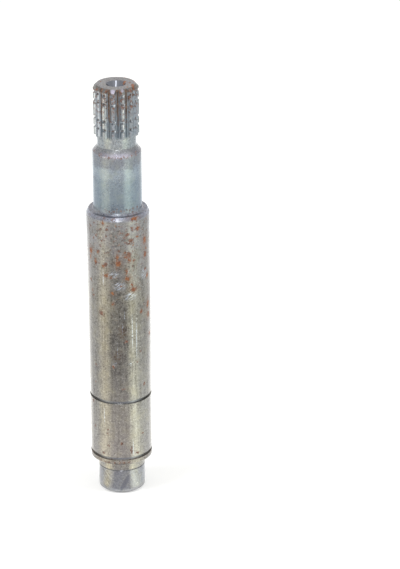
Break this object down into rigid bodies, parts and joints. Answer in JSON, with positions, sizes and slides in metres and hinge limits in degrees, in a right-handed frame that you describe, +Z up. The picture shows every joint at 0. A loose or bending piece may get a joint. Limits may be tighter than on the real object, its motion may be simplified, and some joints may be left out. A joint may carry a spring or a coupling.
{
  "type": "splined shaft",
  "caption": "Turned steel drive shaft with an involute splined head, a coned neck, a long bearing body with snap-ring grooves and a plain end journal.",
  "frame": {"origin": "centre of the lower end face, on the shaft's axis", "axes": "+Z up along the axis, from the journal to the splined head; one tooth of the head faces -Y"},
  "size_m": [0.025, 0.025, 0.1741],
  "materials": {
    "steel": "ground and turned steel, dull, with small rust spots"
  },
  "bodies": {
    "root": {"screw_shaft": "steel"}
  },
  "joints": []
}
